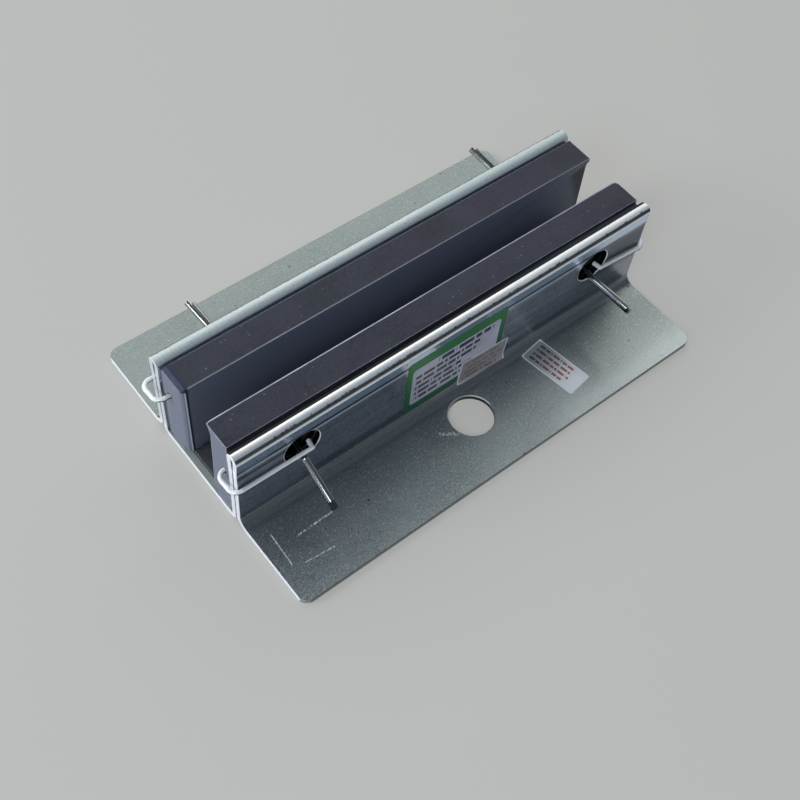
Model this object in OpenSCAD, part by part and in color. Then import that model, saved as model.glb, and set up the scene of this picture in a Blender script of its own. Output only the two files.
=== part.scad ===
// Sliding guide shoe for an elevator car: a folded sheet body with two cushioned side liners,
// a nose liner on the floor of the rail slot, and wire clips and split pins that hold the liners.
// X runs along the rail, Y across it, Z up. The origin is at the middle of the underside.

/* [Sheet body] */
// Length along the rail
body_length = 140; // [110:1:200]
// Width across both flanges
body_width = 94; // [88:1:130]
// Thickness of the folded sheet
sheet = 1.6; // [1.2:0.1:2]
// Height of the folded walls
wall_height = 33.2; // [31:0.1:42]
// Distance between the outer faces of the two walls
wall_span = 38; // [36:0.2:44]
// Space left between the two layers of a wall
layer_gap = 0.4; // [0.2:0.1:0.8]
// Radius of the hollow inside the rolled top of a wall
roll_hollow = 0.5; // [0.4:0.1:0.8]
// Distance from the top of a wall down to where the roll starts to swell
crease_drop = 7; // [5:0.5:10]
// Inside radius of the bend between flange and wall
flange_bend = 3; // [2:0.5:5]
// Inside radius of the bend between wall and floor
floor_bend = 1; // [0.6:0.1:1.6]
// Radius of the flange corners
corner_radius = 3; // [1:0.5:8]

/* [Holes] */
// Distance between the two bolt holes
bolt_spacing = 58; // [56:1:66]
// Diameter of a bolt hole
bolt_hole = 13; // [9:0.5:14]
// Diameter of the round holes in the walls
wall_hole = 11; // [9:0.5:12]
// Height of the wall holes above the underside
wall_hole_height = 21.4; // [20:0.1:22.5]
// Distance from a wall's end to the middle of its hole
wall_hole_inset = 19.6; // [16:0.2:30]

/* [Liners] */
// Width of the rail slot between the side liners
slot_width = 10.6; // [9.6:0.1:11.6]
// Distance from the top of a wall down to the top of a liner
liner_drop = 0.8; // [0.2:0.1:2]
// Distance from the end of the body to the end of a liner
liner_inset = 0.7; // [0.3:0.1:1.2]
// Chamfer along the top of the rear liner's square end
end_chamfer = 1.2; // [0.4:0.1:2]
// Radius of the corner at the square end of the liner's running face
lead_radius = 1.8; // [0.5:0.1:3]
// Depth of the flared entry at the other end of the front liner
front_flare = 1.8; // [1:0.1:2.4]
// Depth of the flared entry at the other end of the rear liner
rear_flare = 0.7; // [0.4:0.1:2.4]
// Length of the flared entry
flare_length = 11; // [5:0.5:14]
// Radius that lets the flare run out towards the top of the liner
flare_round = 6; // [4:0.5:9]
// How much shallower the flare is at its foot
flare_taper = 0.7; // [0.3:0.1:1]
// Height of the nose liner above the floor
nose_height = 3.6; // [3:0.1:6]
// Thickness of the nose liner's foot, trapped under the side liners
nose_foot = 1.6; // [1:0.1:2.2]
// Width by which the foot reaches under each side liner
nose_reach = 2.8; // [1.5:0.1:3.2]
// Length of the slope at each end of the nose liner
nose_slope = 7; // [4:0.5:12]
// Distance from the end of the side liners to the end of the nose liner
nose_inset = 1.2; // [0.4:0.1:4]

/* [Cushions] */
// Thickness of the rubber between liner and wall
cushion = 1.3; // [1:0.1:1.8]
// Distance from the top of a liner down to the top of its cushion
cushion_drop = 1; // [0.4:0.1:3]
// Diameter of the cushion's hole for the split pin
cushion_hole = 5; // [4:0.5:6.5]

/* [Clips and pins] */
// Diameter of the spring wire
wire = 1.3; // [1:0.1:1.4]
// Space between the outer leg of a clip and the wall
clip_standoff = 0.3; // [0.2:0.1:0.8]
// Radius of the two bends that take a clip round the wall's end, to the middle of the wire
bend_radius = 2.4; // [1.8:0.1:2.8]
// Diameter of the two legs of a split pin together
pin = 2; // [1.6:0.1:2.2]
// Inside radius of a split pin's eye
eye_bore = 1.5; // [1.4:0.1:1.7]
// Angle at which a pin falls from its eye to the wall hole
pin_fall = 10; // [6:0.5:11]
// Length of a pin's long leg outside the wall
pin_reach = 15; // [10:0.5:18]
// Distance from the wall to where a pin's legs are bent
pin_kink = 1.2; // [1:0.1:2]
// Length by which a clip's inner leg runs past the pin's eye
clip_past = 6; // [3:0.5:10]

/* [Hidden] */
$fn = 64;
eps = 1;
fit = 0.05;
rib_play = 0.25;
wall_out = wall_span / 2;
wall_in = wall_out - 2 * sheet - layer_gap;
wall_mid = (wall_out + wall_in) / 2;
roll_outer = roll_hollow + sheet;
roll_z = wall_height - roll_outer;
crease_z = wall_height - crease_drop;
floor_half = wall_in - floor_bend;
hole_x = body_length / 2 - wall_hole_inset;
liner_length = body_length - 2 * liner_inset;
liner_end = liner_length / 2;
liner_top = wall_height - liner_drop;
liner_back = wall_in - cushion;
face = slot_width / 2;
foot_half = face + nose_reach;
eye_outer = eye_bore + pin / 2;
eye_y = liner_back - eye_outer;
pin_clear = 0.2;
pin_play = wall_hole / 2 - pin / 2 - pin_clear;
pin_rest_z = wall_hole_height - pin_play;
eye_z = pin_rest_z + (wall_out - eye_y) * tan(pin_fall);
pocket_clear = 0.4;
// The tight wire pulls each eye inwards and down, so it sits out and up from the eye's middle
wire_out = 0.5;
wire_up = 0.45;
clip_y = eye_y + wire_out;
clip_out_y = wall_out + clip_standoff + wire / 2;
tip_depth = 2.6;
tip_lean = 0.5;
bore_clear = 0.5;
flare_z = liner_top - 2 * flare_round / 3;
kink_y = wall_out + pin_kink;
split = 0.1;
knee_swell = 1.06;
knee_trim = 0.1;
spread = 1.2;
// The clips and pins are bent by hand, so each list below goes: front left, front right, rear left, rear right
// Distance from the end of the body to where a clip's bend starts
bend_inset = [0.8, 0.8, -0.6, -0.2];
// Height of a clip where its bend starts and ends, from the middle of the wall hole
bend_in = [-2.2, 0, 1.2, 0.6];
bend_out = [-1.6, -4, 0.1, -2];
// Place of a clip's tip, from the middle of the wall hole
tip_offset = [-2.4, 2.8, 2.8, 2.8];
tip_rise = [-1.9, -1.9, -1.9, 0.4];
// How far a pin sits to the side in its wall hole, as a share of its play
pin_side = [0, 0, -0.71, 0.74];
// Rise, sideways swing and twist of the bent legs, and how much longer or shorter than the rest they are
leg_rise = [-28, 4.8, 11.5, 12.3];
leg_swing = [0, -1.1, 5.6, -8.6];
leg_twist = [0, 0, -90, 90];
leg_long = [0, 0, 0.6, 0.6];
leg_short = [2.4, 0.6, 0.5, 0.5];

// Place of a pin in its wall hole: off the middle it rests higher up the hole's edge
function pin_x(i) = hole_x + pin_side[i] * pin_play;
function pin_z(i) = eye_z + pin_play * (1 - sqrt(1 - pin_side[i] * pin_side[i]));
function bend_x(i) = body_length / 2 - bend_inset[i];
// Height at x of a clip's inner leg, which runs through the eye of its pin to the bend
function wire_z(i, x) =
    let(low = pin_z(i) + wire_up, high = wall_hole_height + bend_in[i])
        low + (high - low) * (x - pin_x(i)) / (bend_x(i) - pin_x(i));

// Turns a flat section drawn in Y and Z into a bar along X
module along_x(length) {
    rotate([90, 0, 90])
        linear_extrude(height = length, center = true)
            children();
}

// Turns a flat outline drawn in X and Z into a slab across Y
module across_y(width) {
    rotate([90, 0, 0])
        linear_extrude(height = width, center = true)
            children();
}

// Straight round rod between two points, stopping short of both by trim
module rod(from, to, d, trim = 0) {
    step = to - from;
    length = norm(step);
    translate(from)
        rotate([0, acos(step[2] / length), atan2(step[1], step[0])])
            translate([0, 0, trim])
                cylinder(h = length - 2 * trim, d = d);
}

// Ball where two rods meet, a little thicker as a bend in wire is, its seam turned away from them
module knee(at, d, seam = 90) {
    translate(at)
        rotate([0, 0, seam])
            sphere(d = knee_swell * d);
}

// Quarter of a bent sheet around a centre, in the quadrant named by the two signs
module bend(y, z, inside, y_sign, z_sign) {
    outside = inside + sheet;
    translate([y, z])
        intersection() {
            difference() {
                circle(r = outside);
                circle(r = inside);
            }
            translate([y_sign > 0 ? 0 : -outside, z_sign > 0 ? 0 : -outside])
                square(outside);
        }
}

// One layer of a wall: straight up from its low end to the crease, then leaning into the roll
module layer(low, y, y_at_roll) {
    polygon([
        [y, low], [y + sheet, low], [y + sheet, crease_z],
        [y_at_roll + sheet, roll_z], [y_at_roll, roll_z], [y, crease_z]
    ]);
}

// Section of one wall with its flange, on the +Y side
module wall_section() {
    layer(sheet + flange_bend, wall_out - sheet, wall_mid + roll_hollow);
    layer(sheet + floor_bend, wall_in, wall_mid - roll_outer);
    translate([wall_mid, roll_z])
        intersection() {
            difference() {
                circle(r = roll_outer);
                circle(r = roll_hollow);
            }
            translate([-roll_outer, 0])
                square([2 * roll_outer, roll_outer]);
        }
    bend(wall_out + flange_bend, sheet + flange_bend, flange_bend, -1, -1);
    bend(floor_half, sheet + floor_bend, floor_bend, 1, -1);
    translate([wall_out + flange_bend, 0])
        square([body_width / 2 - wall_out - flange_bend, sheet]);
}

// Waste between a sharp flange corner and its radius
module corner_waste() {
    difference() {
        translate([-corner_radius, -corner_radius, -eps])
            cube([corner_radius + eps, corner_radius + eps, sheet + 2 * eps]);
        translate([-corner_radius, -corner_radius, -2 * eps])
            cylinder(h = sheet + 4 * eps, r = corner_radius);
    }
}

module shoe_body() {
    color([0.62, 0.66, 0.65])
        difference() {
            union() {
                for (sy = [0, 1])
                    mirror([0, sy, 0])
                        along_x(body_length)
                            wall_section();
                translate([-body_length / 2, -floor_half, 0])
                    cube([body_length, 2 * floor_half, sheet]);
            }
            for (sx = [0, 1], sy = [0, 1])
                mirror([sx, 0, 0])
                    mirror([0, sy, 0])
                        translate([body_length / 2, body_width / 2, 0])
                            corner_waste();
            for (sy = [-1, 1])
                translate([0, sy * bolt_spacing / 2, -eps])
                    cylinder(h = sheet + 2 * eps, d = bolt_hole);
            for (sx = [-1, 1])
                translate([sx * hole_x, 0, wall_hole_height])
                    rotate([90, 0, 0])
                        cylinder(h = wall_span + 4 * eps, d = wall_hole, center = true);
        }
}

// Plan of the rear liner: rounded at the -X end of its running face, flared at the +X end
module liner_plan() {
    translate([-liner_end + lead_radius, face + lead_radius])
        circle(r = lead_radius);
    translate([-liner_end + lead_radius, face])
        square([liner_length - lead_radius, liner_back - face]);
    translate([-liner_end, face + lead_radius])
        square([lead_radius, liner_back - face - lead_radius]);
}

// Scoop cut from the running face at the +X end, running out towards the top
module flare(depth) {
    low = sheet - eps;
    translate([liner_end - flare_length, face, 0])
        rotate([90, 0, 90 + atan(depth / flare_length)])
            linear_extrude(height = flare_length + 2 * eps) {
                translate([-flare_round, flare_z])
                    circle(r = flare_round);
                polygon([
                    [-flare_round, low], [-flare_taper, low], [0, flare_z],
                    [-flare_round, flare_z + flare_round]
                ]);
            }
}

// Side liner as it lies at the rear, holding the clips of the corners numbered right and left
module side_liner(depth, chamfer, right, left) {
    rebate = face + nose_reach + fit;
    square_end = chamfer > 0
        ? [[-liner_end + chamfer, liner_top], [-liner_end, liner_top - chamfer]]
        : [[-liner_end, liner_top]];
    difference() {
        intersection() {
            translate([0, 0, sheet])
                linear_extrude(height = liner_top - sheet)
                    liner_plan();
            across_y(wall_span)
                polygon(concat(
                    [[-liner_end, sheet], [liner_end, sheet], [liner_end, liner_top]],
                    square_end
                ));
            along_x(body_length)
                polygon([
                    [0, sheet + nose_foot + fit], [rebate, sheet + nose_foot + fit], [rebate, sheet],
                    [liner_back - floor_bend, sheet], [liner_back, sheet + floor_bend],
                    [liner_back, liner_top], [0, liner_top]
                ]);
        }
        flare(depth);
        pocket(right);
        wire_bore(right);
        mirror([1, 0, 0]) {
            pocket(left);
            wire_bore(left);
        }
    }
}

// Pocket in the liner's back for the eye and neck of a split pin
module pocket(i) {
    width = pin + 2 * pocket_clear;
    reach = eye_outer + pocket_clear;
    translate([pin_x(i) - width / 2, eye_y - reach, pin_z(i) - reach])
        cube([width, liner_back - eye_y + reach + eps, 2 * reach]);
}

// Bore from the liner's end, past the pocket, for the inner leg of a clip
module wire_bore(i) {
    inside = pin_x(i) - clip_past - wire;
    outside = liner_end + 2 * eps;
    rod([inside, clip_y, wire_z(i, inside)], [outside, clip_y, wire_z(i, outside)], wire + 2 * bore_clear);
}

module liner_front() {
    color([0.22, 0.23, 0.26])
        rotate([0, 0, 180])
            side_liner(front_flare, 0, 0, 1);
}

module liner_rear() {
    color([0.22, 0.23, 0.26])
        side_liner(rear_flare, end_chamfer, 3, 2);
}

module nose_liner() {
    rib_half = face - rib_play;
    top = sheet + nose_height;
    low = sheet + nose_foot;
    end = liner_end - nose_inset;
    color([0.17, 0.18, 0.2])
        intersection() {
            along_x(2 * end) {
                translate([-foot_half, sheet])
                    square([2 * foot_half, nose_foot]);
                translate([-rib_half, sheet])
                    square([2 * rib_half, nose_height]);
            }
            across_y(wall_span)
                polygon([
                    [-end, sheet], [end, sheet], [end, low],
                    [end - nose_slope, top], [-end + nose_slope, top], [-end, low]
                ]);
        }
}

// Cushion as it lies at the rear: a rubber strip between liner and wall, thinned where the roll swells
module cushion_strip(right, left) {
    low = sheet + floor_bend + 2 * fit;
    high = min(liner_top - cushion_drop, roll_z - 2 * fit);
    lean = (wall_in - wall_mid + roll_outer) / (roll_z - crease_z);
    middle = liner_back + cushion / 2;
    fall = (middle - eye_y) * tan(pin_fall);
    difference() {
        along_x(liner_length)
            polygon([
                [liner_back, low], [wall_in, low], [wall_in, crease_z],
                [wall_in - (high - crease_z) * lean, high], [liner_back, high]
            ]);
        for (at = [[pin_x(right), pin_z(right)], [-pin_x(left), pin_z(left)]])
            translate([at[0], middle, at[1] - fall])
                rotate([90, 0, 0])
                    cylinder(h = cushion + 2 * eps, d = cushion_hole, center = true);
    }
}

module cushion_front() {
    color([0.07, 0.07, 0.08])
        rotate([0, 0, 180])
            cushion_strip(0, 1);
}

module cushion_rear() {
    color([0.07, 0.07, 0.08])
        cushion_strip(3, 2);
}

// Spring wire as it lies at the rear right: through the liner, round the wall's end, tip turned into the hole
module clip(i) {
    start_x = pin_x(i) - clip_past;
    start = [start_x, clip_y, wire_z(i, start_x)];
    inner = [bend_x(i), clip_y, wall_hole_height + bend_in[i]];
    outer = [bend_x(i), clip_out_y, wall_hole_height + bend_out[i]];
    turn = [hole_x + tip_offset[i], clip_out_y, wall_hole_height + tip_rise[i]];
    tip = turn - [tip_lean, tip_depth, 0];
    tilt = atan2(inner[2] - outer[2], outer[1] - inner[1]);
    straight = norm(outer - inner) / 2 - bend_radius;
    color([0.85, 0.86, 0.87]) {
        rod(start, inner, wire, knee_trim);
        rod(outer, turn, wire, knee_trim);
        rod(turn, tip, wire, knee_trim);
        for (at = [inner, outer, turn])
            knee(at, wire);
        translate((inner + outer) / 2)
            rotate([-tilt, 0, 0]) {
                rod([bend_radius, -straight, 0], [bend_radius, straight, 0], wire, knee_trim);
                for (side = [-1, 1]) {
                    knee([bend_radius, side * straight, 0], wire, 0);
                    translate([0, side * straight, 0])
                        rotate([0, 0, side > 0 ? 0 : -90])
                            rotate_extrude(angle = 90)
                                translate([bend_radius, 0])
                                    circle(d = wire);
                }
            }
    }
}

module clip_front_left() {
    rotate([0, 0, 180])
        clip(0);
}

module clip_front_right() {
    mirror([0, 1, 0])
        clip(1);
}

module clip_rear_left() {
    mirror([1, 0, 0])
        clip(2);
}

module clip_rear_right() {
    clip(3);
}

// Half-round leg along +Y: the upper half for side 1, the lower half for side -1
module leg(length, side) {
    rotate([-90, 0, 0])
        linear_extrude(height = length)
            intersection() {
                circle(d = pin);
                translate([-pin, side > 0 ? -pin - split / 2 : split / 2])
                    square([2 * pin, pin]);
            }
}

// Split pin as it lies at the rear right: eye on the clip, legs bent by hand outside the wall
module split_pin(i) {
    neck = eye_bore + split;
    kink = (kink_y - eye_y) / cos(pin_fall);
    color([0.5, 0.5, 0.5])
        translate([pin_x(i), eye_y, pin_z(i)])
            rotate([-pin_fall, 0, 0]) {
                rotate([0, 90, 0])
                    rotate_extrude()
                        translate([eye_bore, 0])
                            intersection() {
                                circle(d = pin);
                                translate([0, -pin])
                                    square([pin, 2 * pin]);
                            }
                for (side = [-1, 1])
                    translate([0, neck, 0])
                        leg(kink - neck, side);
                translate([0, kink, 0]) {
                    sphere(d = knee_swell * pin);
                    rotate([leg_rise[i] + pin_fall, 0, -leg_swing[i]])
                        rotate([0, leg_twist[i], 0]) {
                            rotate([-spread, 0, 0])
                                leg(pin_reach + leg_long[i], -1);
                            rotate([spread, 0, 0])
                                leg(pin_reach - leg_short[i], 1);
                        }
                }
            }
}

module pin_front_left() {
    rotate([0, 0, 180])
        split_pin(0);
}

module pin_front_right() {
    mirror([0, 1, 0])
        split_pin(1);
}

module pin_rear_left() {
    mirror([1, 0, 0])
        split_pin(2);
}

module pin_rear_right() {
    split_pin(3);
}

shoe_body();
nose_liner();
liner_front();
liner_rear();
cushion_front();
cushion_rear();
clip_front_left();
clip_front_right();
clip_rear_left();
clip_rear_right();
pin_front_left();
pin_front_right();
pin_rear_left();
pin_rear_right();
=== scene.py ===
# %% [markdown]
# # Dressing a sliding guide shoe
# The shoe is a folded zinc-coated sheet that carries two dark plastic bars. The bars slide along
# the blade of an elevator rail. The CAD model gives every solid its exact size and place, and this
# lesson gives the solids their edges, finishes, stickers and light.

# %% Load the solids
from math import pi, radians

import bpy
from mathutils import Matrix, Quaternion, Vector


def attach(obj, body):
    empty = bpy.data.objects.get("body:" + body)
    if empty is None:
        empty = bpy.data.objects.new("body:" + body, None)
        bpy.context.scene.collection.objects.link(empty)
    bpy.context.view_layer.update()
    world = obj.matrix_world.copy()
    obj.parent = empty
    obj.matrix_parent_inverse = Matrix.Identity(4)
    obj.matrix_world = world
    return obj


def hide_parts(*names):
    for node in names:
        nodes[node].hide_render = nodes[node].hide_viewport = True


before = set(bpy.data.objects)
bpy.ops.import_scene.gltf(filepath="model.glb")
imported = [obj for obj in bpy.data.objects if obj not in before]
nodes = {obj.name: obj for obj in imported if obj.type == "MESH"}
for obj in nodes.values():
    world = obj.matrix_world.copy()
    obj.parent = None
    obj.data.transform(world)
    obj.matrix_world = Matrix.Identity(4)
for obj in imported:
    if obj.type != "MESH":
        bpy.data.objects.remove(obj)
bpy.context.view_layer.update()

MM = 0.001

# %% [markdown]
# ## The camera
# The photograph looks down from above one corner, with the camera a little rolled. A place,
# a point to look at and a roll say that in three values. The lens follows from how fast the shoe
# shrinks towards its far end.

# %% Set up the camera
CAMERA_PLACE = Vector((-139.218, -140.619, 276.122)) * MM
CAMERA_AIM = Vector((-19.835, -20.268, 16.577)) * MM
CAMERA_ROLL = radians(7.58)
CAMERA_LENS, SENSOR_WIDTH = 53.1, 36
NEAREST_SEEN = 0.01

camera = bpy.data.objects.new("camera", bpy.data.cameras.new("camera"))
bpy.context.scene.collection.objects.link(camera)
camera.data.lens = CAMERA_LENS
camera.data.sensor_width = SENSOR_WIDTH
camera.data.clip_start = NEAREST_SEEN
view_direction = CAMERA_AIM - CAMERA_PLACE
camera.rotation_mode = "QUATERNION"
camera.rotation_quaternion = (
    view_direction.to_track_quat("-Z", "Y") @ Quaternion((0, 0, 1), CAMERA_ROLL)
)
camera.location = CAMERA_PLACE
bpy.context.scene.camera = camera
bpy.context.scene.view_settings.view_transform = "Standard"
print("camera", round(view_direction.length / MM), "mm from the point it looks at")

# %% [markdown]
# ## Floor and light
# A big pale floor fills the view. It takes the shoe's shadow, and a share of its brightness is its
# own wherever it is seen, so that it stays even. The world is pale at the horizon, where the floor
# ends, and dim and bluish overhead. Four soft boxes light the shoe: a wide panel behind it draws
# the white line along the rolled walls, a panel at the right lights the flanges, a cool box at the
# left lights the ends, and a warm low one at the left whitens the cut edges and the wires. Metal
# shows what it mirrors, so the places of the boxes matter more here than how strong they are.

# %% Helpers that add a shader node
def put(tree, kind, values=None, **settings):
    """Adds a node, sets its options, and fills its inputs with plain values or with links."""
    node = tree.nodes.new("ShaderNode" + kind)
    for key, value in settings.items():
        setattr(node, key, value)
    for key, value in (values or {}).items():
        if isinstance(value, bpy.types.NodeSocket):
            tree.links.new(value, node.inputs[key])
        else:
            node.inputs[key].default_value = value
    return node


def calc(tree, operation, a, b=0.0):
    """One sum of two values."""
    return put(tree, "Math", {0: a, 1: b}, operation=operation).outputs[0]


def tell(name, tree):
    """Prints how many nodes a tree has so far."""
    print(name, "has", len(tree.nodes), "nodes")


# %% The floor
BACKGROUND = (0.482, 0.478, 0.450, 1)
PAPER = (0.66, 0.665, 0.65, 1)
FLOOR_OWN_SHARE = 0.6
FLOOR_SIZE = 8
FLOOR_DROP = 0.2

bpy.ops.object.select_all(action="DESELECT")
bpy.ops.mesh.primitive_plane_add(size=FLOOR_SIZE, location=(0, 0, -FLOOR_DROP * MM))
floor = bpy.context.object
floor.name = "floor"
bpy.ops.object.transform_apply(location=True, rotation=True, scale=True)

paper = bpy.data.materials.new("pale floor")
paper.use_nodes = True
tree = paper.node_tree
tree.nodes.clear()
path = put(tree, "LightPath").outputs
seen = calc(tree, "MAXIMUM", path["Is Camera Ray"], path["Is Glossy Ray"])
seen = calc(tree, "MAXIMUM", seen, path["Is Transmission Ray"])
share = calc(tree, "MULTIPLY", seen, FLOOR_OWN_SHARE)
lit = put(tree, "BsdfDiffuse", {"Color": PAPER})
own = put(tree, "Emission", {"Color": BACKGROUND, "Strength": 1.0})
mixed = put(tree, "MixShader", {0: share, 1: lit.outputs[0], 2: own.outputs[0]})
put(tree, "OutputMaterial", {"Surface": mixed.outputs[0]})
floor.data.materials.append(paper)
print("floor", FLOOR_SIZE, "m across")

# %% The world
ROOM = (0.15, 0.18, 0.23, 1)
BACKDROP = (0.37, 0.37, 0.355, 1)
FADE = ((0.10, BACKDROP), (0.22, ROOM))

world = bpy.data.worlds.new("soft room")
bpy.context.scene.world = world
world.use_nodes = True
tree = world.node_tree
tree.nodes.clear()
direction = put(tree, "TexCoord").outputs["Generated"]
rise = put(tree, "SeparateXYZ", {0: direction}).outputs["Z"]
fade = put(tree, "ValToRGB", {"Fac": rise})
for stop, (height, shade) in zip(fade.color_ramp.elements, FADE):
    stop.position, stop.color = height, shade
sky = put(tree, "Background", {"Color": fade.outputs["Color"], "Strength": 1.0})
put(tree, "OutputWorld", {"Surface": sky.outputs[0]})
tell(world.name, tree)

# %% The soft boxes
def soft_box(name, place, aim, width, height, brightness, color):
    """An area lamp whose strength is set as the brightness of its face."""
    lamp = bpy.data.lights.new(name, "AREA")
    lamp.shape = "RECTANGLE"
    lamp.size, lamp.size_y = width, height
    lamp.energy = brightness * pi * width * height
    lamp.color = color
    box = bpy.data.objects.new(name, lamp)
    bpy.context.scene.collection.objects.link(box)
    box.location = place
    box.rotation_mode = "QUATERNION"
    box.rotation_quaternion = (Vector(aim) - Vector(place)).to_track_quat("-Z", "Y")
    box.visible_camera = False


WARM, COOL = (1.0, 1.0, 0.97), (0.80, 0.89, 1.0)
soft_box("back panel", (0.2, 1.1, 1.05), (0.2, 0, 1.05), 2.4, 1.0, 1.95, WARM)
soft_box("right panel", (1.2, 0.45, 1.2), (0, 0.45, 1.2), 0.9, 1.6, 1.0, WARM)
soft_box("left box", (-0.95, -0.4, 0.8), (0, 0, 0), 0.5, 0.5, 7.0, COOL)
soft_box("low left box", (-1.09, 0.5, 0.5), (0, 0, 0), 0.5, 0.35, 12.0, WARM)

# %% [markdown]
# ## Rounded edges
# Sheet that has been cut and plastic that has been moulded never have perfectly sharp edges, and
# light catches on the small rounding. The solids are exact and stay as they are, so a copy of each
# one is merged, its flat faces are joined, and a Bevel modifier rounds the edges. The copy is shown
# in place of the solid.

# %% Helpers that pick a piece and put it on the body
MERGE_REACH = 0.001
FLAT_ANGLE, SHARP_ANGLE = radians(0.3), radians(32)
BEVEL_STEPS = 2


def pick(piece):
    """Selects one piece alone, because the operators act on all that is selected."""
    bpy.ops.object.select_all(action="DESELECT")
    piece.select_set(True)
    bpy.context.view_layer.objects.active = piece


def rounded_copy(name, radius):
    """Copies a solid, rounds the copy's sharp edges and shows it in place of the solid."""
    solid = nodes[name]
    piece = solid.copy()
    piece.data = solid.data.copy()
    piece.name = name + "_rounded"
    for key in [key for key in piece.keys() if key.startswith("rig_")]:
        del piece[key]
    piece.parent = None
    bpy.context.scene.collection.objects.link(piece)
    pick(piece)
    bpy.ops.object.mode_set(mode="EDIT")
    bpy.ops.mesh.select_all(action="SELECT")
    bpy.ops.mesh.remove_doubles(threshold=MERGE_REACH * MM)
    bpy.ops.mesh.dissolve_limited(angle_limit=FLAT_ANGLE)
    bpy.ops.object.mode_set(mode="OBJECT")
    bpy.ops.object.shade_smooth_by_angle(angle=SHARP_ANGLE)
    edges = piece.modifiers.new("edges", "BEVEL")
    edges.limit_method = "ANGLE"
    edges.angle_limit = SHARP_ANGLE
    edges.width = radius * MM
    edges.segments = BEVEL_STEPS
    edges.harden_normals = True
    bpy.ops.object.modifier_apply(modifier=edges.name)
    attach(piece, "root")
    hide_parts(name)
    return piece


# %% Round the edges of every solid
EDGE_RADIUS = {
    "shoe_body": 0.18, "nose_liner": 0.3, "liner": 0.3, "cushion": 0.2, "clip": 0.12, "pin": 0.12,
}


def of_kind(table, name):
    """The entry of a table whose key a solid's name starts with."""
    return next(value for start, value in table.items() if name.startswith(start))


pieces = {name: rounded_copy(name, of_kind(EDGE_RADIUS, name)) for name in sorted(nodes)}
for name, piece in pieces.items():
    print(piece.name, len(piece.data.polygons), "faces")

# %% [markdown]
# ## Effects shared by the finishes
# Grain, specks, streaks, scratches and worn edges turn up on more than one material. Each could be
# built again in every material, but one node group for each keeps them alike. A group gives a mask,
# so each material uses it in its own strength. All of them measure in millimetres on the object.

# %% Helpers that start a node group and place it
def start_group(name, inputs, outputs):
    """A new shader group with named sockets: its tree, what it is given and its results."""
    tree = bpy.data.node_groups.new(name, "ShaderNodeTree")
    for socket, value in inputs.items():
        kind = "NodeSocketVector" if isinstance(value, tuple) else "NodeSocketFloat"
        tree.interface.new_socket(socket, in_out="INPUT", socket_type=kind).default_value = value
    for socket in outputs:
        tree.interface.new_socket(socket, in_out="OUTPUT", socket_type="NodeSocketFloat")
    given, result = tree.nodes.new("NodeGroupInput"), tree.nodes.new("NodeGroupOutput")
    return tree, given.outputs, result.inputs


def use_group(tree, group, **values):
    """Places a group in a material and sets its inputs; returns its outputs."""
    node = tree.nodes.new("ShaderNodeGroup")
    node.node_tree = group
    for key, value in values.items():
        socket = node.inputs[key.replace("_", " ")]
        if isinstance(value, bpy.types.NodeSocket):
            tree.links.new(value, socket)
        else:
            socket.default_value = value
    return node.outputs


# %% Helpers for sums in a node tree
def in_millimetres(tree, stretch=(1, 1, 1)):
    """The place on the object in millimetres, squeezed along an axis to stretch a pattern there."""
    place = put(tree, "TexCoord").outputs["Object"]
    return put(tree, "Mapping", {"Vector": place, "Scale": [s / MM for s in stretch]}).outputs[0]


def ramp(tree, value, low, high, start=0.0, end=1.0, smooth=True):
    """Maps low..high to start..end."""
    kind = "SMOOTHSTEP" if smooth else "LINEAR"
    values = {"Value": value, "From Min": low, "From Max": high, "To Min": start, "To Max": end}
    return put(tree, "MapRange", values, interpolation_type=kind).outputs["Result"]


def spread(tree, mask, start, end):
    """Turns a mask into a value that goes straight from start to end."""
    return ramp(tree, mask, 0, 1, start, end, False)


def band(tree, value, low, high, soft):
    """One between two values, and falling off to zero on both sides."""
    rise = ramp(tree, value, low - soft, low + soft)
    return product(tree, rise, ramp(tree, value, high - soft, high + soft, 1.0, 0.0))


def between(tree, share, first, second):
    """Goes from the first value to the second as the share grows."""
    values = {"Factor": share, "A": first, "B": second}
    return put(tree, "Mix", values, data_type="FLOAT").outputs[0]


def vector_calc(tree, operation, a, b, output="Vector"):
    """One sum of two vectors."""
    return put(tree, "VectorMath", {0: a, 1: b}, operation=operation).outputs[output]


def product(tree, first, *others):
    """All the values multiplied."""
    for other in others:
        first = calc(tree, "MULTIPLY", first, other)
    return first


def apart(tree, first, second):
    """The length of a step that goes this far along one axis and that far along another."""
    step = put(tree, "CombineXYZ", {"X": first, "Y": second}).outputs[0]
    return put(tree, "VectorMath", {0: step}, operation="LENGTH").outputs["Value"]


def noise(tree, place, scale, detail, roughness=0.5, output="Fac"):
    """Cloudy noise at a place."""
    values = {"Vector": place, "Scale": scale, "Detail": detail, "Roughness": roughness}
    return put(tree, "TexNoise", values).outputs[output]


# %% Place: where on the object a point lies, in millimetres
place_group, _, result = start_group("place", {}, ["X", "Y", "Z", "End", "Side"])
axes = put(place_group, "SeparateXYZ", {0: in_millimetres(place_group)}).outputs
for axis in "XYZ":
    place_group.links.new(axes[axis], result[axis])
place_group.links.new(calc(place_group, "ABSOLUTE", axes["X"]), result["End"])
place_group.links.new(calc(place_group, "ABSOLUTE", axes["Y"]), result["Side"])
tell("place", place_group)

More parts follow.
